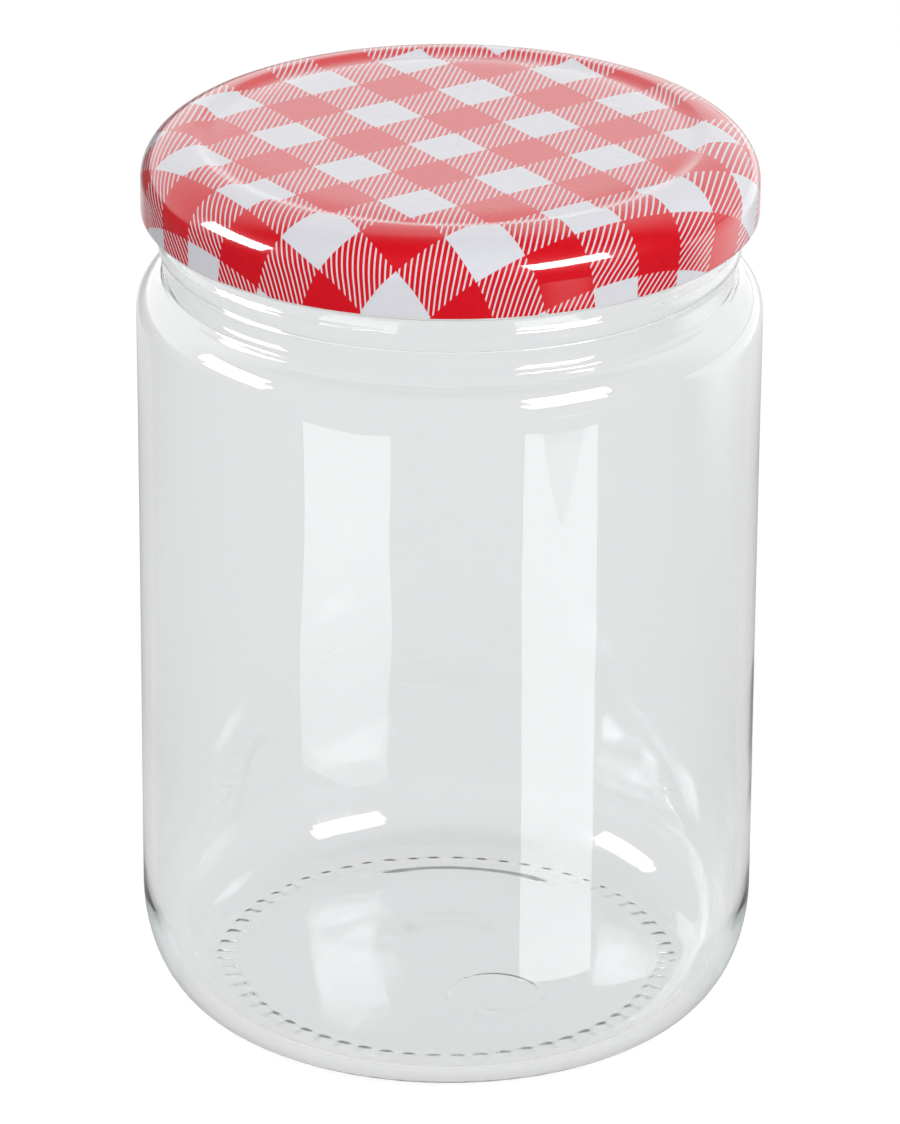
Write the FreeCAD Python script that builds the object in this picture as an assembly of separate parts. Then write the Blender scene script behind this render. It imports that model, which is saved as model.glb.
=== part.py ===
import FreeCAD, Part
import math
import os

# A round canning jar with a printed twist-off lid, standing on its base. Millimetres, +Z up the jar's axis.

# Body of the jar
body_radius = 43.0
body_wall = 1.9
panel_radius = 42.9
panel_bottom = 35.0
panel_top = 92.0
panel_ramp = 2.5

# Base and heel
heel_width = 8.8
heel_height = 15.2
ring_inner_radius = 30.1
ring_step = 1.1
ring_step_width = 3.6
push_up = 1.8
push_up_radius = 20.0
inner_floor = 3.4
inner_floor_radius = 27.6
inner_edge_level = 1.95
inner_edge_radius = 33.2
inner_heel_height = 14.25

# Knurl on the ring the jar stands on
knurl_count = 60
knurl_groove_length = 2.2
knurl_groove_width = 1.5
knurl_groove_depth = 0.3

# Shoulder and neck
shoulder_start = 101.6
shoulder_radius = 5.5
neck_radius = 39.3
neck_fillet = 0.8
inner_neck_radius = 36.8
inner_neck_bottom = 108.9
inner_neck_fillet = 5.4
inner_shoulder_radius = 3.6

# Bead under the finish, by which the jar is carried while it is made
bead_bottom = 110.0
bead_height = 3.8
bead_stand = 0.7

# Finish: the wall inside the lid, its lip and its six thread segments
jar_height = 125.6
finish_radius = 39.2
lip_rounding = 1.0
thread_count = 6
thread_stand = 1.4
thread_root_depth = 1.0
thread_root_height = 3.6
thread_crest_height = 1.0
thread_level = 119.3
thread_span = 46.0
thread_tilt = 2.4

# Lid: pressed tinplate with a sunk panel, a rounded rim and a skirt that ends in a curl
lid_gauge = 0.25
lid_panel_level = 126.44
lid_panel_radius = 28.4
lid_moat_level = 126.05
lid_moat_radius = 33.2
lid_crown_level = 126.69
lid_crown_radius = 34.9
lid_radius = 42.25
lid_corner_height = 5.99
lid_bottom = 115.9
lid_curl_radius = 0.6
lining_inner_radius = 34.8
lining_outer_radius = 38.8

# Lugs that hook under the thread segments
lug_count = 6
lug_span = 17.0
lug_reach = 1.5
lug_height = 1.1
lug_rise = 0.2

X_AXIS = FreeCAD.Vector(1, 0, 0)
Z_AXIS = FreeCAD.Vector(0, 0, 1)
ORIGIN = FreeCAD.Vector(0, 0, 0)
OUT = "parts"


def at(radius, height):
    return FreeCAD.Vector(radius, 0, height)


def line(start, end):
    return Part.LineSegment(at(*start), at(*end)).toShape()


def arc(start, middle, end):
    return Part.Arc(at(*start), at(*middle), at(*end)).toShape()


def quarter_ellipse(centre, width, height):
    """The quarter from the lowest or highest point, at the centre's radius, out to the widest point."""
    middle = at(*centre)
    tip = at(centre[0], centre[1] + height)
    side = at(centre[0] + width, centre[1])
    if abs(height) >= width:
        ellipse = Part.Ellipse(tip, side, middle)
    else:
        ellipse = Part.Ellipse(side, tip, middle)
    return Part.ArcOfEllipse(ellipse, 0.0, math.pi / 2).toShape()


def turned(edges, degrees=360.0):
    """The solid a closed section in the XZ plane sweeps about the jar's axis."""
    wire = Part.Wire(Part.__sortEdges__(edges))
    return Part.Face(wire).revolve(ORIGIN, Z_AXIS, degrees)


def swing(wide, wide_level, wide_round, narrow, narrow_round):
    """An S curve that leaves a wide wall with one rounding and meets a narrower wall with another."""
    turn = math.acos(1.0 - (wide - narrow) / (wide_round + narrow_round))
    half = turn / 2
    join = (wide - wide_round * (1 - math.cos(turn)), wide_level + wide_round * math.sin(turn))
    rise = (wide_round + narrow_round) * math.sin(turn)
    end = (narrow, wide_level + rise)
    lower_mid = (wide - wide_round * (1 - math.cos(half)), wide_level + wide_round * math.sin(half))
    upper_mid = (narrow + narrow_round * (1 - math.cos(half)), end[1] - narrow_round * math.sin(half))
    first = arc((wide, wide_level), lower_mid, join)
    second = arc(join, upper_mid, end)
    return [first, second], end


def outer_wall():
    """Outside of the glass, from the middle of the base up to the lip."""
    heel_centre = (body_radius - heel_width, heel_height)
    ring_edge = (ring_inner_radius - ring_step_width, ring_step)
    edges = [line((0, push_up), (push_up_radius, push_up))]
    edges.append(line((push_up_radius, push_up), ring_edge))
    edges.append(line(ring_edge, (ring_inner_radius, 0)))
    edges.append(line((ring_inner_radius, 0), (heel_centre[0], 0)))
    edges.append(quarter_ellipse(heel_centre, heel_width, -heel_height))
    edges.append(line((body_radius, heel_height), (body_radius, panel_bottom)))
    edges.append(line((body_radius, panel_bottom), (panel_radius, panel_bottom + panel_ramp)))
    edges.append(line((panel_radius, panel_bottom + panel_ramp), (panel_radius, panel_top - panel_ramp)))
    edges.append(line((panel_radius, panel_top - panel_ramp), (body_radius, panel_top)))
    edges.append(line((body_radius, panel_top), (body_radius, shoulder_start)))
    shoulder, neck = swing(body_radius, shoulder_start, shoulder_radius, neck_radius, neck_fillet)
    edges.extend(shoulder)
    bead_middle = (neck_radius + bead_stand, bead_bottom + bead_height / 2)
    bead_top = (finish_radius, bead_bottom + bead_height)
    edges.append(line(neck, (neck_radius, bead_bottom)))
    edges.append(arc((neck_radius, bead_bottom), bead_middle, bead_top))
    lip_outside = (finish_radius, jar_height - lip_rounding)
    lip_top = (finish_radius - lip_rounding, jar_height)
    bend = lip_rounding * (1 - math.cos(math.pi / 4))
    edges.append(line(bead_top, lip_outside))
    edges.append(arc(lip_outside, (finish_radius - bend, jar_height - bend), lip_top))
    return edges, lip_top


def inner_wall(lip_top):
    """Inside of the glass, from the lip down to the middle of the floor."""
    bend = lip_rounding * (1 - math.cos(math.pi / 4))
    lip_inside = (inner_neck_radius, jar_height - lip_rounding)
    lip_inner_top = (inner_neck_radius + lip_rounding, jar_height)
    edges = [line(lip_top, lip_inner_top)]
    edges.append(arc(lip_inner_top, (inner_neck_radius + bend, jar_height - bend), lip_inside))
    inside = body_radius - body_wall
    turn = math.acos(1.0 - (inside - inner_neck_radius) / (inner_shoulder_radius + inner_neck_fillet))
    level = inner_neck_bottom - (inner_shoulder_radius + inner_neck_fillet) * math.sin(turn)
    curve, top = swing(inside, level, inner_shoulder_radius, inner_neck_radius, inner_neck_fillet)
    edges.append(line(lip_inside, top))
    edges.extend(curve)
    heel_centre = (inner_edge_radius, inner_edge_level + inner_heel_height)
    edges.append(line((inside, level), (inside, heel_centre[1])))
    edges.append(quarter_ellipse(heel_centre, inside - inner_edge_radius, -inner_heel_height))
    edges.append(line((inner_edge_radius, inner_edge_level), (inner_floor_radius, inner_floor)))
    edges.append(line((inner_floor_radius, inner_floor), (0, inner_floor)))
    edges.append(line((0, inner_floor), (0, push_up)))
    return edges


def thread_segment(azimuth):
    """One raised thread segment, tilted so a lug rides along its underside."""
    root = finish_radius - thread_root_depth
    crest = finish_radius + thread_stand
    half_root = thread_root_height / 2
    half_crest = thread_crest_height / 2
    corners = [(root, -half_root), (crest, -half_crest), (crest, half_crest), (root, half_root)]
    edges = [line(a, b) for a, b in zip(corners, corners[1:] + corners[:1])]
    segment = turned(edges, thread_span)
    segment.rotate(ORIGIN, Z_AXIS, -thread_span / 2)
    segment.rotate(ORIGIN, X_AXIS, thread_tilt)
    segment.translate(FreeCAD.Vector(0, 0, thread_level))
    segment.rotate(ORIGIN, Z_AXIS, azimuth)
    return segment


def knurl_groove(azimuth):
    """One radial groove across the ring the jar stands on."""
    ring_middle = (ring_inner_radius + body_radius - heel_width) / 2
    start = ring_middle - knurl_groove_length / 2
    groove = Part.makeBox(knurl_groove_length, knurl_groove_width, knurl_groove_depth * 2)
    groove.translate(FreeCAD.Vector(start, -knurl_groove_width / 2, -knurl_groove_depth))
    groove.rotate(ORIGIN, Z_AXIS, azimuth)
    return groove


def make_jar():
    outside, lip_top = outer_wall()
    jar = turned(outside + inner_wall(lip_top))
    threads = [thread_segment(i * 360.0 / thread_count) for i in range(thread_count)]
    jar = jar.fuse(threads)
    grooves = [knurl_groove(i * 360.0 / knurl_count) for i in range(knurl_count)]
    return jar.cut(Part.makeCompound(grooves))


def lid_block(inset):
    """The lid as a filled block, drawn in from its outside by the inset."""
    crown = (lid_crown_radius, lid_crown_level - inset)
    corner = (lid_crown_radius, lid_crown_level - lid_corner_height)
    wide = lid_radius - inset
    foot = lid_bottom + lid_curl_radius
    edges = [line((0, foot), (0, lid_panel_level - inset))]
    edges.append(line((0, lid_panel_level - inset), (lid_panel_radius, lid_panel_level - inset)))
    edges.append(line((lid_panel_radius, lid_panel_level - inset), (lid_moat_radius, lid_moat_level - inset)))
    edges.append(line((lid_moat_radius, lid_moat_level - inset), crown))
    edges.append(quarter_ellipse(corner, wide - lid_crown_radius, crown[1] - corner[1]))
    edges.append(line((wide, corner[1]), (wide, foot)))
    edges.append(line((wide, foot), (0, foot)))
    return turned(edges)


def lug(azimuth):
    """One lug: a stretch of the curl pressed inwards."""
    outside = lid_radius - lid_gauge / 2
    inside = lid_radius - lid_curl_radius - lug_reach
    foot = lid_bottom + lug_rise
    corners = [(inside, foot), (outside, foot), (outside, foot + lug_height), (inside, foot + lug_height)]
    edges = [line(a, b) for a, b in zip(corners, corners[1:] + corners[:1])]
    piece = turned(edges, lug_span)
    piece.rotate(ORIGIN, Z_AXIS, azimuth - lug_span / 2)
    return piece


def make_lid():
    block = lid_block(0.0)
    shell = block.cut(lid_block(lid_gauge))
    seat = Part.makeCylinder(lining_outer_radius, lid_radius, at(0, jar_height))
    seat = seat.cut(Part.makeCylinder(lining_inner_radius, lid_radius, at(0, jar_height)))
    curl_level = lid_bottom + lid_curl_radius
    curl = Part.makeTorus(lid_radius - lid_curl_radius, lid_curl_radius, at(0, curl_level))
    lugs = [lug(i * 360.0 / lug_count) for i in range(lug_count)]
    return shell.fuse([block.common(seat), curl] + lugs)


def export(name, shape):
    solids = shape.Solids
    if len(solids) != 1 or not shape.isValid():
        raise ValueError(name + " isn't one valid solid")
    solids[0].exportStep(os.path.join(OUT, name + ".step"))
    print(name, "volume cm3", round(shape.Volume / 1000, 2))


os.makedirs("parts", exist_ok=True)
export("jar", make_jar())
export("lid", make_lid())
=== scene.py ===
import math

import bmesh
import bpy
from mathutils import Euler, Matrix, Vector, noise


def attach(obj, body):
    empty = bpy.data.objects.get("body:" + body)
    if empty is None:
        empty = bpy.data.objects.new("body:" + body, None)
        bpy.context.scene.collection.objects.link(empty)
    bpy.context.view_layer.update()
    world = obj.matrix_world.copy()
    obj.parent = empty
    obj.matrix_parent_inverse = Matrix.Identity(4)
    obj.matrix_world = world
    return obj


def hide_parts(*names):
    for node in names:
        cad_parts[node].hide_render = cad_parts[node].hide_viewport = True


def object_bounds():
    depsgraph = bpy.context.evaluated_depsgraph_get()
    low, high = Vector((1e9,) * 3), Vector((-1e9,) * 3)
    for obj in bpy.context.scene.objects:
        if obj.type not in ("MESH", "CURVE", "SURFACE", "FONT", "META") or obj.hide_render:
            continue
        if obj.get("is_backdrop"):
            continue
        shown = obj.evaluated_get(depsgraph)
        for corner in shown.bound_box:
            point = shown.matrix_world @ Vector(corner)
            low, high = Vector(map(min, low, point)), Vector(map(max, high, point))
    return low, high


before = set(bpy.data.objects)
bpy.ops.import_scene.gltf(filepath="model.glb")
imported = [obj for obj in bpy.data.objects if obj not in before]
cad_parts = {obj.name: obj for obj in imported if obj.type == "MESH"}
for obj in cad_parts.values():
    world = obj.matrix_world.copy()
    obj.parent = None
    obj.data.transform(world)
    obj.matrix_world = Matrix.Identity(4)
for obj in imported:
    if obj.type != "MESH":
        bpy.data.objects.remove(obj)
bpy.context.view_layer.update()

MM = 0.001


# ---- The glass ------------------------------------------------------------------------------------
# A round jar pressed and blown in clear soda-lime glass: one wall from the lip to the knurled ring it
# stands on. Its outside is true to the mould. Its inside was only blown, so it is a little uneven.

def start_section(radius, height):
    """A mesh that holds the first point of a turned section."""
    bm = bmesh.new()
    point = bmesh.ops.create_vert(bm, co=(radius * MM, 0, height * MM))["vert"][0]
    return bm, point


def run_to(bm, point, radius, height, steps=1):
    """Draws the section on in a straight line."""
    move = (Vector((radius * MM, 0, height * MM)) - point.co) / steps
    for _ in range(steps):
        point = bmesh.ops.extrude_vert_indiv(bm, verts=[point])["verts"][0]
        bmesh.ops.translate(bm, verts=[point], vec=move)
    return point


def sweep_round(bm, point, radius, height, degrees, steps, stretch=(1, 1)):
    """Draws the section on round a centre. A stretch across or up makes the arc part of an ellipse."""
    centre = Vector((radius * MM, 0, height * MM))
    drawn = set(bm.verts)
    turn = math.radians(degrees)
    out = bmesh.ops.spin(bm, geom=[point], cent=centre, axis=(0, 1, 0), angle=turn, steps=steps)
    last = [g for g in out["geom_last"] if isinstance(g, bmesh.types.BMVert)][0]
    fresh = [v for v in bm.verts if v not in drawn]
    factors = (stretch[0], 1, stretch[1])
    bmesh.ops.scale(bm, vec=factors, space=Matrix.Translation(-centre), verts=fresh)
    return last


def turn_section(bm, steps):
    """Turns the finished section about the upright axis into a closed skin with its faces outwards."""
    full = math.radians(360)
    bmesh.ops.remove_doubles(bm, verts=bm.verts, dist=0.000002)
    geom = list(bm.verts) + list(bm.edges)
    bmesh.ops.spin(bm, geom=geom, cent=(0, 0, 0), axis=(0, 0, 1), angle=full, steps=steps, use_merge=True)
    bmesh.ops.remove_doubles(bm, verts=bm.verts, dist=0.000002)
    bmesh.ops.recalc_face_normals(bm, faces=bm.faces)


def into_piece(bm, name):
    """Makes the finished mesh a smooth shaded object that rides with the jar."""
    mesh = bpy.data.meshes.new(name)
    bm.to_mesh(mesh)
    bm.free()
    mesh.shade_smooth()
    piece = bpy.data.objects.new(name, mesh)
    bpy.context.collection.objects.link(piece)
    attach(piece, "root")
    return piece


def radius_of(vert):
    """How far a point lies from the jar's axis, in millimetres."""
    return math.hypot(vert.co.x, vert.co.y) / MM


def azimuth_of(vert):
    """The direction of a point about the jar's axis, in degrees from the right."""
    return math.degrees(math.atan2(vert.co.y, vert.co.x))


body_radius = 43.0
inside_radius = 41.1
panel_radius = 42.95
panel_foot = (22, 54)
panel_head = (84, 98)
heel_centre = (34.2, 15.2)
ring_inner = 30.1
push_up = 1.8
shoulder_level = 101.6
shoulder_round = 5.5
shoulder_turn = 65.63
shoulder_rise = 5.739
neck_radius = 39.3
neck_fillet = 0.8
bead_level = 111.9
bead_inset = 1.9
bead_fillet = 1.7
bead_half_height = 2.352
bead_half_turn = 33.16
mouth_radius = 36.8
finish_radius = 39.2
lip_round = 1
jar_height = 125.6
inner_neck_level = 108.9
inner_neck_round = 5.4
inner_shoulder_level = 101.225
inner_shoulder_round = 3.6
inner_shoulder_turn = 58.52
floor_centre = (33.2, 16.2)
floor_edge_level = 1.95
floor_level = 3.4

glass, pen = start_section(0, push_up)
pen = run_to(glass, pen, 5, push_up, steps=3)
pen = run_to(glass, pen, 20, 1.76, steps=38)
pen = run_to(glass, pen, 24.5, 1.5, steps=4)
pen = run_to(glass, pen, 27, 1.14, steps=3)
pen = run_to(glass, pen, 28.7, 0.62, steps=2)
pen = run_to(glass, pen, 29.6, 0.22)
pen = run_to(glass, pen, ring_inner, 0.03)
pen = run_to(glass, pen, heel_centre[0], 0, steps=9)
heel_stretch = (body_radius - heel_centre[0]) / heel_centre[1]
pen = sweep_round(glass, pen, *heel_centre, -90, 28, stretch=(heel_stretch, 1))
pen = run_to(glass, pen, body_radius, panel_foot[0], steps=4)
pen = run_to(glass, pen, panel_radius, panel_foot[1], steps=16)
pen = run_to(glass, pen, panel_radius, panel_head[0], steps=5)
pen = run_to(glass, pen, body_radius, panel_head[1], steps=14)
pen = run_to(glass, pen, body_radius, shoulder_level, steps=3)
pen = sweep_round(glass, pen, body_radius - shoulder_round, shoulder_level, -shoulder_turn, 22)
pen = sweep_round(glass, pen, neck_radius + neck_fillet, shoulder_level + shoulder_rise, shoulder_turn, 7)
pen = run_to(glass, pen, neck_radius, bead_level - bead_half_height, steps=4)
fillet_radius = neck_radius + bead_fillet
pen = sweep_round(glass, pen, fillet_radius, bead_level - bead_half_height, bead_half_turn, 8)
pen = sweep_round(glass, pen, neck_radius - bead_inset, bead_level, -2 * bead_half_turn, 18)
pen = sweep_round(glass, pen, fillet_radius, bead_level + bead_half_height, bead_half_turn, 8)
pen = run_to(glass, pen, finish_radius, bead_level + 3)
lip_level = jar_height - lip_round
pen = run_to(glass, pen, finish_radius, lip_level, steps=5)
pen = sweep_round(glass, pen, finish_radius - lip_round, lip_level, -90, 6)
pen = run_to(glass, pen, mouth_radius + lip_round, jar_height)
pen = sweep_round(glass, pen, mouth_radius + lip_round, lip_level, -90, 6)
pen = run_to(glass, pen, mouth_radius, inner_neck_level, steps=6)
inner_neck_centre = (mouth_radius + inner_neck_round, inner_neck_level)
pen = sweep_round(glass, pen, *inner_neck_centre, -inner_shoulder_turn, 14)
inner_shoulder_centre = (inside_radius - inner_shoulder_round, inner_shoulder_level)
pen = sweep_round(glass, pen, *inner_shoulder_centre, inner_shoulder_turn, 12)
pen = run_to(glass, pen, inside_radius, floor_centre[1], steps=34)
floor_stretch = (floor_centre[1] - floor_edge_level) / (inside_radius - floor_centre[0])
pen = sweep_round(glass, pen, *floor_centre, 90, 26, stretch=(1, floor_stretch))
pen = run_to(glass, pen, 31.8, 2.03, steps=2)
pen = run_to(glass, pen, 30.8, 2.27)
pen = run_to(glass, pen, 28.8, 3.0, steps=3)
pen = run_to(glass, pen, 27.8, 3.28)
pen = run_to(glass, pen, 26.4, floor_level)
pen = run_to(glass, pen, 0, floor_level, steps=8)
turn_section(glass, 300)

# Knurl: sixty short radial ridges on the ring, so the hot jar doesn't slip or check on the belt.
knurl_count = 60
knurl_height = 0.18
knurl = [v for v in glass.verts if 30.2 < radius_of(v) < 33.2 and v.co.z < 0.3 * MM]
for vert in knurl:
    lift = 0.5 - 0.5 * math.cos(math.radians(azimuth_of(vert) * knurl_count))
    vert.co.z += knurl_height * MM * lift


def smooth(value):
    """Eases a value between 0 and 1 in and out."""
    value = min(1, max(0, value))
    return value * value * (3 - 2 * value)


def levelled(rise):
    """Climbs evenly, then levels off softly at 1."""
    return rise if rise < 0.85 else 1 - max(0, 1.15 - rise) ** 2 / 0.6


# Both faces of the base are low cones. A step runs round them, deep at the back and hardly there elsewhere.
outer_cone_reach = 24
inner_cone_reach = 19
outer_step_edge = 29.6
inner_step_edge = 27.6
step_width = 2.5
step_depth = 0.7
step_middle = 2.9
shallow = 0.08
for vert in glass.verts:
    radius = radius_of(vert)
    level = vert.co.z / MM
    if radius < ring_inner and level < push_up + 0.02:
        cone = push_up * levelled((ring_inner - radius) / outer_cone_reach)
        step_edge = outer_step_edge
    elif radius < floor_centre[0] and floor_edge_level - 0.05 < level < floor_level + 0.05:
        climb = levelled((floor_centre[0] - radius) / inner_cone_reach)
        cone = floor_edge_level + (floor_level - floor_edge_level) * climb
        step_edge = inner_step_edge
    else:
        continue
    aside = abs(vert.co.x / MM - step_middle)
    at_back = smooth((vert.co.y / MM - 2) / 22) * smooth(1.6 - aside / 9.3)
    depth = step_depth * (shallow + (1 - shallow) * at_back)
    step = depth * smooth((step_edge - radius) / step_width)
    vert.co.z = (cone + step) * MM

# A plain oval left on the base by the mould, and the fine seams where the mould's parts met.
oval_middle = Vector((6.9, -12.3, 0))
oval_half_width = 6.7
oval_half_depth = 5.9
oval_line = 0.6
oval_height = 0.16
for vert in glass.verts:
    from_oval = Vector((vert.co.x, vert.co.y, 0)) / MM - oval_middle
    outwards = math.hypot(from_oval.x / oval_half_width, from_oval.y / oval_half_depth)
    off_line = abs(outwards - 1) * (oval_half_width + oval_half_depth) / 2
    if vert.co.z < 2 * MM and off_line < oval_line:
        vert.co.z -= oval_height * MM * (1 - off_line / oval_line)
seam_line = 0.16
for seam_level, reach in ((113, 39.2), (106.9, 39.2), (106.2, 39.6)):
    for vert in glass.verts:
        off_line = abs(vert.co.z / MM - seam_level)
        if radius_of(vert) > reach and off_line < seam_line:
            flat = Vector((vert.co.x, vert.co.y, 0)).normalized()
            ragged = noise.noise(flat * 60 + Vector((0, 0, seam_level)))
            vert.co += flat * MM * (0.04 + 0.05 * ragged)

# The label panel runs softly into the full width above and below it.
foot_length = panel_foot[1] - panel_foot[0]
head_length = panel_head[1] - panel_head[0]
for vert in glass.verts:
    level = vert.co.z / MM
    if radius_of(vert) > panel_radius - 0.1 and 21 < level < 99:
        sunk = smooth((level - panel_foot[0]) / foot_length) * smooth((panel_head[1] - level) / head_length)
        reach = (body_radius - (body_radius - panel_radius) * sunk) / radius_of(vert)
        vert.co = Vector((vert.co.x * reach, vert.co.y * reach, vert.co.z))

# The blown inside: slow swells in the wall, strongest at the front left.
loose_side = Vector((-0.5, -0.87, 0))
for vert in glass.verts:
    level = vert.co.z / MM
    if abs(radius_of(vert) - inside_radius) > 0.05:
        continue
    flat = Vector((vert.co.x, vert.co.y, 0)).normalized()
    fade = min(1, max(0, (level - 18) / 14), max(0, (102 - level) / 12))
    swell = noise.noise(Vector((flat.x * 2.6, flat.y * 2.6, level / 55)))
    ripple = noise.noise(Vector((flat.x * 7, flat.y * 7, level / 17 + 5)))
    loose = max(0, min(1, (flat.dot(loose_side) - 0.84) / 0.1))
    wave = 0.035 * swell + 0.006 * ripple + loose * (0.06 * swell + 0.03 * ripple)
    vert.co += flat * fade * MM * wave

jar = into_piece(glass, "jar_glass")
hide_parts("jar")


def new_material(name):
    """A material whose tree holds only its shader and output."""
    material = bpy.data.materials.new(name)
    material.use_nodes = True
    tree = material.node_tree
    shader = tree.nodes["Principled BSDF"]
    return material, tree, shader


def add_node(tree, kind, inputs=(), **settings):
    """A node with its settings and inputs made. An input that is a socket is linked."""
    node = tree.nodes.new(kind)
    for key, value in settings.items():
        setattr(node, key, value)
    for slot, value in dict(inputs).items():
        if isinstance(value, bpy.types.NodeSocket):
            tree.links.new(value, node.inputs[slot])
        else:
            node.inputs[slot].default_value = value
    return node


clear_glass, tree, shader = new_material("clear_glass")
shader.inputs["Base Color"].default_value = (0.945, 0.95, 0.955, 1)
shader.inputs["Roughness"].default_value = 0.0
shader.inputs["IOR"].default_value = 1.52
shader.inputs["Transmission Weight"].default_value = 1.0
place = add_node(tree, "ShaderNodeTexCoord").outputs["Object"]
ripples = add_node(tree, "ShaderNodeTexNoise", {"Vector": place, "Scale": 60, "Detail": 1})
waves = {"Strength": 0.12, "Distance": 0.0002, "Height": ripples.outputs["Fac"]}
ripple_bump = add_node(tree, "ShaderNodeBump", waves)
tree.links.new(ripple_bump.outputs["Normal"], shader.inputs["Normal"])
absorb = add_node(tree, "ShaderNodeVolumeAbsorption", {"Color": (0.28, 0.60, 0.58, 1), "Density": 2.5})
tree.links.new(absorb.outputs["Volume"], tree.nodes["Material Output"].inputs["Volume"])
jar.data.materials.append(clear_glass)


# ---- The lid --------------------------------------------------------------------------------------
# A twist-off lid pressed from tinplate 0.25 mm thick, printed and varnished on the flat sheet first,
# so the print stretches over the rim. Its foot is curled inwards and pressed into six lugs.

gauge = 0.25
panel_level = 126.44
panel_edge = 28.4
moat = (33.2, 126.05)
crown = (34.9, 126.69)
corner_level = 120.7
lid_radius = 42.25
lid_bottom = 115.9
curl_radius = 0.6
curl_middle = (lid_radius - curl_radius, lid_bottom + curl_radius)

lid_section, pen = start_section(0, panel_level)
pen = run_to(lid_section, pen, panel_edge, panel_level, steps=14)
pen = run_to(lid_section, pen, 29.6, panel_level - 0.03, steps=2)
pen = run_to(lid_section, pen, 30.8, panel_level - 0.11, steps=2)
pen = run_to(lid_section, pen, *moat, steps=3)
moat_point = pen
pen = run_to(lid_section, pen, *crown, steps=2)
crown_point = pen
corner_width = lid_radius - crown[0]
corner_height = crown[1] - corner_level
corner_stretch = (corner_width / corner_height, 1)
pen = sweep_round(lid_section, pen, crown[0], corner_level, 90, 30, stretch=corner_stretch)
pen = run_to(lid_section, pen, lid_radius, curl_middle[1], steps=8)
pen = sweep_round(lid_section, pen, *curl_middle, 290, 24)
pen = run_to(lid_section, pen, lid_radius - gauge, curl_middle[1] + 0.75)
pen = run_to(lid_section, pen, lid_radius - gauge, corner_level, steps=5)
inner_stretch = (1, (corner_height - gauge) / (corner_width - gauge))
pen = sweep_round(lid_section, pen, crown[0], corner_level, -90, 20, stretch=inner_stretch)
pen = run_to(lid_section, pen, moat[0], moat[1] - gauge, steps=2)
pen = run_to(lid_section, pen, panel_edge, panel_level - gauge, steps=2)
pen = run_to(lid_section, pen, 0, panel_level - gauge, steps=4)
bends = {"affect": "VERTICES", "segments": 6, "profile": 0.5, "material": -1}
bmesh.ops.bevel(lid_section, geom=[moat_point], offset=0.9 * MM, **bends)
bmesh.ops.bevel(lid_section, geom=[crown_point], offset=0.25 * MM, **bends)
turn_section(lid_section, 300)

# Lugs: six stretches of the curl pressed in under the glass threads.
lug_reach = 1.4
lug_top = 117.3
lug_half_span = 9.5
lug_slope = 2.5
for vert in lid_section.verts:
    if radius_of(vert) > lid_radius - gauge - 0.02 or vert.co.z > lug_top * MM:
        continue
    off = abs((azimuth_of(vert) + 30) % 60 - 30)
    press = min(1, max(0, (lug_half_span - off) / lug_slope))
    flat = Vector((vert.co.x, vert.co.y, 0)).normalized()
    vert.co -= flat * lug_reach * MM * press

# The flat sheet: where each point of the lid lay before it was pressed, as a map in tenths of a metre.
print_moat = 33.6
print_crown = 35.5
print_corner = (37.7, 40.1, 42.6, 45.1)
print_foot = 49.3


def between(value, low, high, first, last):
    """Runs evenly from first to last as the value goes from low to high."""
    along = min(1, max(0, (value - low) / (high - low)))
    return first + (last - first) * along


def blank_radius(radius, height):
    """How far from the middle of the flat sheet this ring of the pressed lid came from."""
    if radius < panel_edge:
        return radius
    if radius < moat[0]:
        return between(radius, panel_edge, moat[0], panel_edge, print_moat)
    if radius < crown[0]:
        return between(radius, moat[0], crown[0], print_moat, print_crown)
    if height < corner_level:
        return between(height, corner_level, lid_bottom, print_corner[-1], print_foot)
    reach = (radius - crown[0]) / corner_width
    rise = (height - corner_level) / corner_height
    quarter = math.atan2(reach, rise) / math.radians(90) * 4
    rings = (print_crown,) + print_corner
    start = min(3, int(quarter))
    return between(quarter, start, start + 1, rings[start], rings[start + 1])


sheet_map = lid_section.loops.layers.uv.new("sheet")
for face in lid_section.faces:
    for loop in face.loops:
        co = loop.vert.co
        flat = Vector((co.x, co.y)).normalized() if radius_of(loop.vert) > 0.001 else Vector((0, 0))
        reach = blank_radius(radius_of(loop.vert), co.z / MM) / 100
        loop[sheet_map].uv = flat * reach + Vector((0.5, 0.5))
for face in lid_section.faces:
    middle = face.calc_center_median()
    radius = math.hypot(middle.x, middle.y) / MM
    outwards = Vector((middle.x, middle.y, 0)).normalized()
    across_skirt = radius > crown[0] and outwards.dot(face.normal) > 0.02
    along_top = middle.z > (moat[1] - 0.1) * MM and face.normal.z > 0.3
    high = middle.z > (lid_bottom + 0.3) * MM
    printed_side = high and face.normal.z > -0.3 and (across_skirt or along_top)
    face.material_index = 0 if printed_side else 1

lid = into_piece(lid_section, "lid_shell")
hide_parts("lid")

printed, tree, shader = new_material("gingham_print")
check_repeat = 15.53
print_shift = (22.0, 0.55, 0)
print_turn = math.radians(-34.8)
check_edge = (0.2415, 0.2495)
lines_per_check = 14.53
line_start = -0.30
sheet = add_node(tree, "ShaderNodeUVMap", uv_map="sheet").outputs["UV"]
in_mm = add_node(tree, "ShaderNodeVectorMath", {0: sheet, 1: (-0.5, -0.5, 0)}, operation="ADD").outputs[0]
in_mm = add_node(tree, "ShaderNodeVectorMath", {0: in_mm, "Scale": 100}, operation="SCALE").outputs[0]
moved = add_node(tree, "ShaderNodeVectorMath", {0: in_mm, 1: print_shift}, operation="ADD").outputs[0]
turned = add_node(tree, "ShaderNodeVectorRotate", {"Vector": moved, "Angle": print_turn}).outputs[0]
axes = add_node(tree, "ShaderNodeSeparateXYZ", {0: turned})


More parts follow.
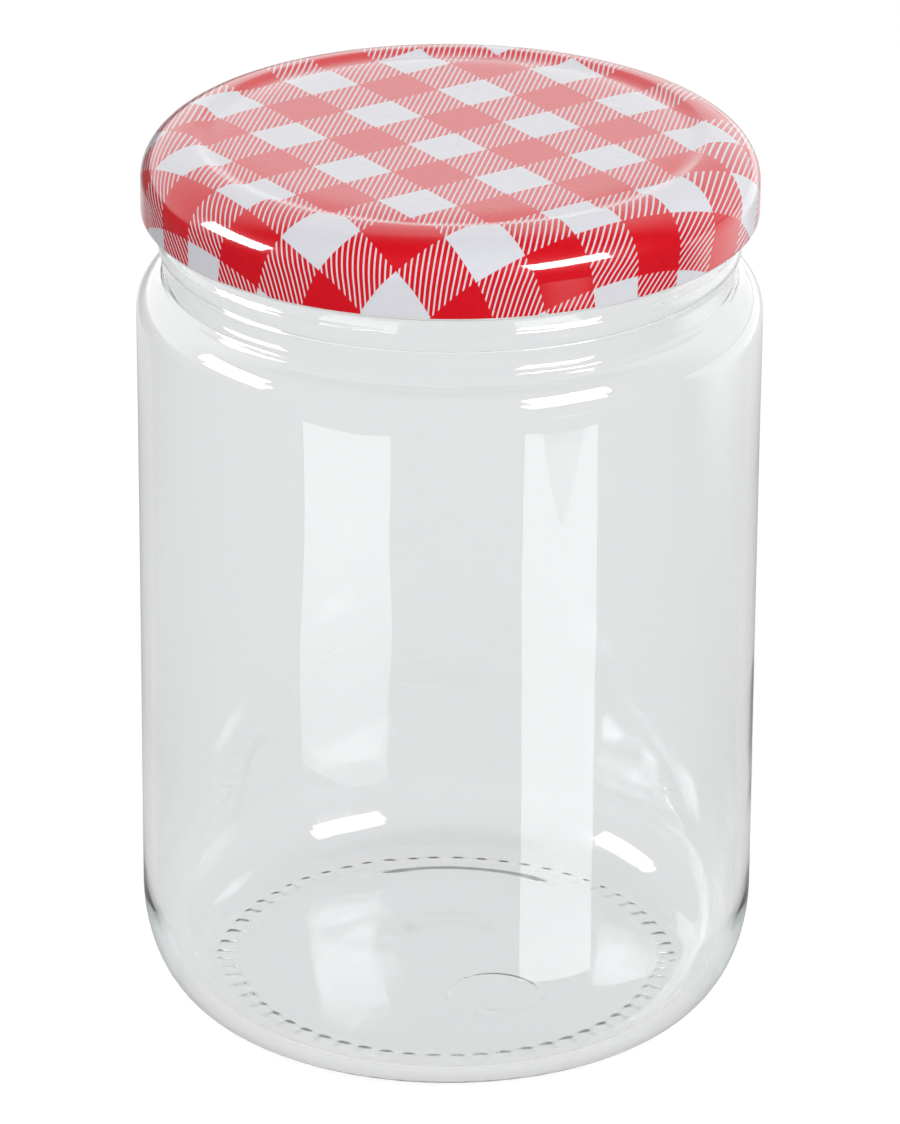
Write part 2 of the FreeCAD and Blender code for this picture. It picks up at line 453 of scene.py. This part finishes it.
def math_node(tree, operation, a, b=0.0, c=0.0):
    """The result of a sum on sockets or plain numbers."""
    return add_node(tree, "ShaderNodeMath", {0: a, 1: b, 2: c}, operation=operation).outputs[0]


across = math_node(tree, "DIVIDE", axes.outputs["X"], check_repeat)
down = math_node(tree, "DIVIDE", axes.outputs["Y"], -check_repeat)


def stripe(tree, value, solid, clear):
    """1 on a stripe about each whole number: solid out to the first half width, gone by the second."""
    near = math_node(tree, "ABSOLUTE", math_node(tree, "WRAP", value, 0.5, -0.5))
    inputs = {"Value": near, "From Min": solid, "From Max": clear, "To Min": 1, "To Max": 0}
    return add_node(tree, "ShaderNodeMapRange", inputs).outputs[0]


white_across = stripe(tree, across, *check_edge)
white_down = stripe(tree, down, *check_edge)
both_white = math_node(tree, "MULTIPLY", white_across, white_down)
either_white = math_node(tree, "MAXIMUM", white_across, white_down)
slant = math_node(tree, "ADD", across, math_node(tree, "SUBTRACT", down, 0.5))
diagonal = math_node(tree, "WRAP", slant, 0.5, -0.5)
hatch_phase = math_node(tree, "MULTIPLY_ADD", diagonal, lines_per_check, line_start)
hatch = stripe(tree, hatch_phase, 0.11, 0.20)
hatched = math_node(tree, "MULTIPLY", either_white, hatch)
paper = math_node(tree, "MAXIMUM", both_white, hatched)
place = add_node(tree, "ShaderNodeTexCoord").outputs["Object"]
mottle = add_node(tree, "ShaderNodeTexNoise", {"Vector": place, "Scale": 900, "Detail": 2}).outputs["Fac"]


def blend_colours(tree, factor, first, second):
    """The first colour where the factor is 0 and the second where it is 1."""
    node = add_node(tree, "ShaderNodeMix", {0: factor}, data_type="RGBA")
    for slot, value in ((6, first), (7, second)):
        if isinstance(value, bpy.types.NodeSocket):
            tree.links.new(value, node.inputs[slot])
        else:
            node.inputs[slot].default_value = (*value, 1)
    return node.outputs[2]


red_ink = blend_colours(tree, mottle, (0.62, 0.003, 0.010), (0.68, 0.007, 0.018))
white_ink = blend_colours(tree, mottle, (0.67, 0.67, 0.72), (0.70, 0.70, 0.75))
ink = blend_colours(tree, paper, red_ink, white_ink)
tree.links.new(ink, shader.inputs["Base Color"])
shader.inputs["Coat Weight"].default_value = 1.0
shader.inputs["Coat Roughness"].default_value = 0.06
shader.inputs["Coat IOR"].default_value = 1.5
shader.inputs["Specular IOR Level"].default_value = 0.05
grain = add_node(tree, "ShaderNodeTexNoise", {"Vector": place, "Scale": 420, "Detail": 3}).outputs["Fac"]
gloss = add_node(tree, "ShaderNodeMapRange", {"Value": grain, "To Min": 0.24, "To Max": 0.34}).outputs[0]
tree.links.new(gloss, shader.inputs["Roughness"])
film = add_node(tree, "ShaderNodeTexNoise", {"Vector": place, "Scale": 160, "Detail": 2}).outputs["Fac"]
film_bump = add_node(tree, "ShaderNodeBump", {"Strength": 0.04, "Distance": 0.0002, "Height": film})
tree.links.new(film_bump.outputs["Normal"], shader.inputs["Normal"])
tree.links.new(film_bump.outputs["Normal"], shader.inputs["Coat Normal"])
lid.data.materials.append(printed)

lacquer, tree, shader = new_material("pale_lacquer")
place = add_node(tree, "ShaderNodeTexCoord").outputs["Object"]
cloud = add_node(tree, "ShaderNodeTexNoise", {"Vector": place, "Scale": 140, "Detail": 3}).outputs["Fac"]
enamel = blend_colours(tree, cloud, (0.76, 0.76, 0.74), (0.84, 0.84, 0.82))
tree.links.new(enamel, shader.inputs["Base Color"])
satin = add_node(tree, "ShaderNodeMapRange", {"Value": cloud, "To Min": 0.28, "To Max": 0.42}).outputs[0]
tree.links.new(satin, shader.inputs["Roughness"])
lid.data.materials.append(lacquer)


# ---- The sealing compound -------------------------------------------------------------------------
# A ring of pale soft plastisol, poured wet into the channel inside the lid and cured there. The lip
# of the glass presses its groove into it.

lining, pen = start_section(34.2, 126.0)
pen = run_to(lining, pen, 34.8, 125.66, steps=3)
pen = run_to(lining, pen, 35.6, 125.61, steps=2)
pen = run_to(lining, pen, 38.2, 125.61, steps=3)
pen = run_to(lining, pen, 38.25, 125.7, steps=1)
pen = run_to(lining, pen, 37.4, 125.98, steps=2)
pen = run_to(lining, pen, 36.4, 126.22, steps=2)
pen = run_to(lining, pen, 35.2, 126.36, steps=2)
pen = run_to(lining, pen, 34.2, 126.0, steps=2)
turn_section(lining, 180)
seal = into_piece(lining, "sealing_ring")

plastisol, tree, shader = new_material("pale_plastisol")
place = add_node(tree, "ShaderNodeTexCoord").outputs["Object"]
cloud = add_node(tree, "ShaderNodeTexNoise", {"Vector": place, "Scale": 200, "Detail": 3}).outputs["Fac"]
cream = blend_colours(tree, cloud, (0.70, 0.70, 0.68), (0.78, 0.77, 0.74))
tree.links.new(cream, shader.inputs["Base Color"])
matt = add_node(tree, "ShaderNodeMapRange", {"Value": cloud, "To Min": 0.45, "To Max": 0.6}).outputs[0]
tree.links.new(matt, shader.inputs["Roughness"])
seal.data.materials.append(plastisol)


# ---- The table and the room -----------------------------------------------------------------------
# The jar stands on a plain white table in a white room. The table and the room are set apart for what
# lights the jar, what is seen, what shows through the glass and what shows in gloss. Large soft lamps
# light it, two strips make the streaks, and bright cards on the table stand in the glass as columns.

def by_ray(tree, light, seen, through_glass, mirrored):
    """One strength each for what lights things, what the camera sees, and what shows in glass and gloss."""
    path = add_node(tree, "ShaderNodeLightPath")
    through = path.outputs["Is Transmission Ray"]
    not_through = math_node(tree, "SUBTRACT", 1, through)
    bounced = math_node(tree, "MULTIPLY", path.outputs["Is Glossy Ray"], not_through)
    value = light
    steps = ((path.outputs["Is Camera Ray"], seen), (through, through_glass), (bounced, mirrored))
    for factor, strength in steps:
        inputs = {0: factor, 2: value, 3: strength}
        value = add_node(tree, "ShaderNodeMix", inputs, data_type="FLOAT").outputs[0]
    return value


table = bmesh.new()
bmesh.ops.create_grid(table, x_segments=1, y_segments=1, size=6)
bmesh.ops.translate(table, verts=table.verts, vec=(0, 3, -0.0002))
mesh = bpy.data.meshes.new("table")
table.to_mesh(mesh)
table.free()
floor = bpy.data.objects.new("table", mesh)
bpy.context.collection.objects.link(floor)
floor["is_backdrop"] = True


def ramp(tree, value, low, high, first, last):
    """Runs smoothly from first to last as the value goes from low to high."""
    inputs = {"Value": value, "From Min": low, "From Max": high, "To Min": first, "To Max": last}
    return add_node(tree, "ShaderNodeMapRange", inputs, interpolation_type="SMOOTHSTEP").outputs[0]


table_white, tree, shader = new_material("table_white")
shader.inputs["Roughness"].default_value = 0.9
shader.inputs["Specular IOR Level"].default_value = 0.0
place = add_node(tree, "ShaderNodeTexCoord").outputs["Object"]
spot = add_node(tree, "ShaderNodeSeparateXYZ", {0: place})
aside = spot.outputs["X"]
depth = spot.outputs["Y"]
away = add_node(tree, "ShaderNodeVectorMath", {0: place}, operation="LENGTH").outputs["Value"]
# Painted reflections: the table glows only in gloss, in a ring close round the jar and further off behind
# it, dim to the left and brightest to the right.
close_by = ramp(tree, away, 0.075, 0.12, 0.26, 0)
painted_reflection_left = ramp(tree, aside, -0.26, -0.10, 0.15, 1)
painted_reflection_right = ramp(tree, aside, 0.19, 0.29, 1, 2.2)
beyond = ramp(tree, away, 0.20, 0.30, 0.34, 0.72)
behind = ramp(tree, depth, 0.0, 0.10, 0, 1)
sides = math_node(tree, "MULTIPLY", painted_reflection_left, painted_reflection_right)
far_floor = math_node(tree, "MULTIPLY", beyond, math_node(tree, "MULTIPLY", behind, sides))
painted_reflections = math_node(tree, "ADD", close_by, far_floor)
paint = by_ray(tree, light=0.80, seen=0.30, through_glass=0.12, mirrored=0.05)
tree.links.new(paint, shader.inputs["Base Color"])
shader.inputs["Emission Color"].default_value = (1, 1, 1, 1)
# Painted shade: seen through the glass, the table's glow is darker close under the jar, standing in for the
# jar's shadow there.
painted_shade_under_jar = ramp(tree, away, 0.030, 0.058, 0.74, 0.80)
shine = by_ray(tree, light=0.0, seen=0.82, through_glass=painted_shade_under_jar, mirrored=painted_reflections)
tree.links.new(shine, shader.inputs["Emission Strength"])
floor.data.materials.append(table_white)

room = bpy.data.worlds.new("room")
bpy.context.scene.world = room
room.use_nodes = True
tree = room.node_tree
towards = add_node(tree, "ShaderNodeTexCoord").outputs["Generated"]
split = add_node(tree, "ShaderNodeSeparateXYZ", {0: towards})
behind = ramp(tree, split.outputs["Y"], 0.0, 0.5, 0, 1)
above_table = ramp(tree, split.outputs["Z"], -0.02, 0.06, 0, 1)
below_ceiling = ramp(tree, split.outputs["Z"], 0.8, 0.95, 1, 0)
window = math_node(tree, "MULTIPLY", behind, math_node(tree, "MULTIPLY", above_table, below_ceiling))
dim = math_node(tree, "MULTIPLY_ADD", behind, 0.36, 0.04)
mirrored = math_node(tree, "MULTIPLY_ADD", window, 1.02, dim)
strength = by_ray(tree, light=0.35, seen=1.0, through_glass=0.95, mirrored=mirrored)
background = tree.nodes["Background"]
background.inputs["Color"].default_value = (1, 1, 1, 1)
tree.links.new(strength, background.inputs["Strength"])

# Light goes round inside a glass wall many times before it comes out.
bpy.context.scene.cycles.max_bounces = 48
bpy.context.scene.cycles.glossy_bounces = 28
bpy.context.scene.cycles.transmission_bounces = 48


def soft_lamp(name, azimuth, elevation, distance, width, height, power, shine=True):
    """A softbox that faces the jar, in metres and watts. Azimuth is from the front, to the right."""
    lamp = bpy.data.lights.new(name, "AREA")
    lamp.shape = "RECTANGLE"
    lamp.size = width
    lamp.size_y = height
    lamp.energy = power
    fitting = bpy.data.objects.new(name, lamp)
    bpy.context.collection.objects.link(fitting)
    tilt = Euler((math.radians(90 - elevation), 0, math.radians(azimuth)))
    fitting.rotation_euler = tilt
    fitting.location = tilt.to_matrix() @ Vector((0, 0, distance)) + Vector((0, 0, 0.09))
    fitting.visible_camera = False
    fitting.visible_glossy = shine
    fitting.visible_transmission = shine
    return fitting


soft_lamp("key", 0, 48, 1.6, 1.3, 1.0, 12, shine=False)
soft_lamp("right_fill", 56, 25, 1.4, 0.9, 0.9, 7, shine=False)
soft_lamp("left_fill", -68, 25, 1.4, 0.9, 0.9, 3.5, shine=False)
right_strip = soft_lamp("right_strip", 46, 30.5, 1.2, 0.62, 0.32, 22)
right_strip.visible_diffuse = False
left_strip = soft_lamp("left_strip", -87, 22, 1.2, 0.64, 0.32, 22)
left_strip.visible_diffuse = False


def lay_card(name, corners, fewest, most):
    """A card of light on the table, seen only by way of at least and at most so many faces of glass."""
    bm = bmesh.new()
    bmesh.ops.create_grid(bm, x_segments=1, y_segments=1, size=1)
    for vert in bm.verts:
        place = corners[(vert.co.x > 0, vert.co.y > 0)]
        vert.co = Vector((place.x, place.y, 0.5)) * MM
    mesh = bpy.data.meshes.new(name)
    bm.to_mesh(mesh)
    bm.free()
    card = bpy.data.objects.new(name, mesh)
    bpy.context.collection.objects.link(card)
    card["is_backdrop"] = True
    material, tree, shader = new_material(name)
    shader.inputs["Base Color"].default_value = (0, 0, 0, 1)
    shader.inputs["Specular IOR Level"].default_value = 0.0
    shader.inputs["Emission Color"].default_value = (1, 1, 1, 1)
    card.data.materials.append(material)
    card.visible_camera = False
    card.visible_diffuse = False
    card.visible_shadow = False
    passed = add_node(tree, "ShaderNodeLightPath").outputs["Transmission Depth"]
    enough = math_node(tree, "GREATER_THAN", passed, fewest - 0.5)
    shows = math_node(tree, "MULTIPLY", enough, math_node(tree, "LESS_THAN", passed, most + 0.5))
    tree.links.new(shows, shader.inputs["Alpha"])
    return tree, shader, add_node(tree, "ShaderNodeTexCoord").outputs["Object"]


def mirrored_spot(degrees, distance):
    """Where on the table the upright glass at that azimuth mirrors, at that distance from it."""
    azimuth = math.radians(degrees)
    stands = Vector((math.sin(azimuth), -math.cos(azimuth))) * body_radius
    return stands + Vector((math.sin(2 * azimuth), -math.cos(2 * azimuth))) * distance


def column_card(name, first, last, near, far, near_strength, far_strength):
    """A card that stands in the glass as a tall bright column between two azimuths."""
    corners = {}
    for right, degrees in ((False, first), (True, last)):
        for back, distance in ((False, near), (True, far)):
            corners[(right, back)] = mirrored_spot(degrees, distance)
    tree, shader, place = lay_card(name, corners, 1, 3)
    away = add_node(tree, "ShaderNodeVectorMath", {0: place}, operation="LENGTH").outputs["Value"]
    strength = ramp(tree, away, near * MM, far * MM, near_strength, far_strength)
    tree.links.new(strength, shader.inputs["Emission Strength"])


column_card("right_card", 14.3, 28.9, near=34, far=250, near_strength=4.6, far_strength=4.2)
column_card("left_card", -11.0, -28.3, near=104, far=250, near_strength=1.9, far_strength=4.0)

# A round glow low on the right of the glass.
glow_middle = mirrored_spot(22, 330)
glow_reach = 95
glow_corners = {}
for right in (False, True):
    for back in (False, True):
        step = Vector((1 if right else -1, 1 if back else -1)) * glow_reach
        glow_corners[(right, back)] = glow_middle + step
tree, shader, place = lay_card("glow_card", glow_corners, 0, 0)
middle = (glow_middle.x * MM, glow_middle.y * MM, 0)
off_middle = add_node(tree, "ShaderNodeVectorMath", {0: place, 1: middle}, operation="DISTANCE")
glow = ramp(tree, off_middle.outputs["Value"], 0.015, glow_reach * MM, 1.3, 0)
tree.links.new(glow, shader.inputs["Emission Strength"])


# ---- The camera -----------------------------------------------------------------------------------
# A long lens a little over a metre away, looking down on the lid, with the jar upright in the frame.
# The view transform is plain, so the whites of the table and the room stay white.

lens = bpy.data.cameras.new("camera")
lens.sensor_fit = "HORIZONTAL"
lens.sensor_width = 36
lens.lens = 283.75
lens.clip_start = 0.05
camera = bpy.data.objects.new("camera", lens)
bpy.context.collection.objects.link(camera)
aim = Euler((math.radians(90 - 23.662), 0, 0)).to_matrix()
roll = Matrix.Rotation(math.radians(0.335), 3, "Z")
camera.rotation_euler = (aim @ roll).to_euler()
camera.location = Vector((0.25, -905.8, 460.06)) * MM
bpy.context.scene.camera = camera
bpy.context.scene.view_settings.view_transform = "Standard"

low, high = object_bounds()
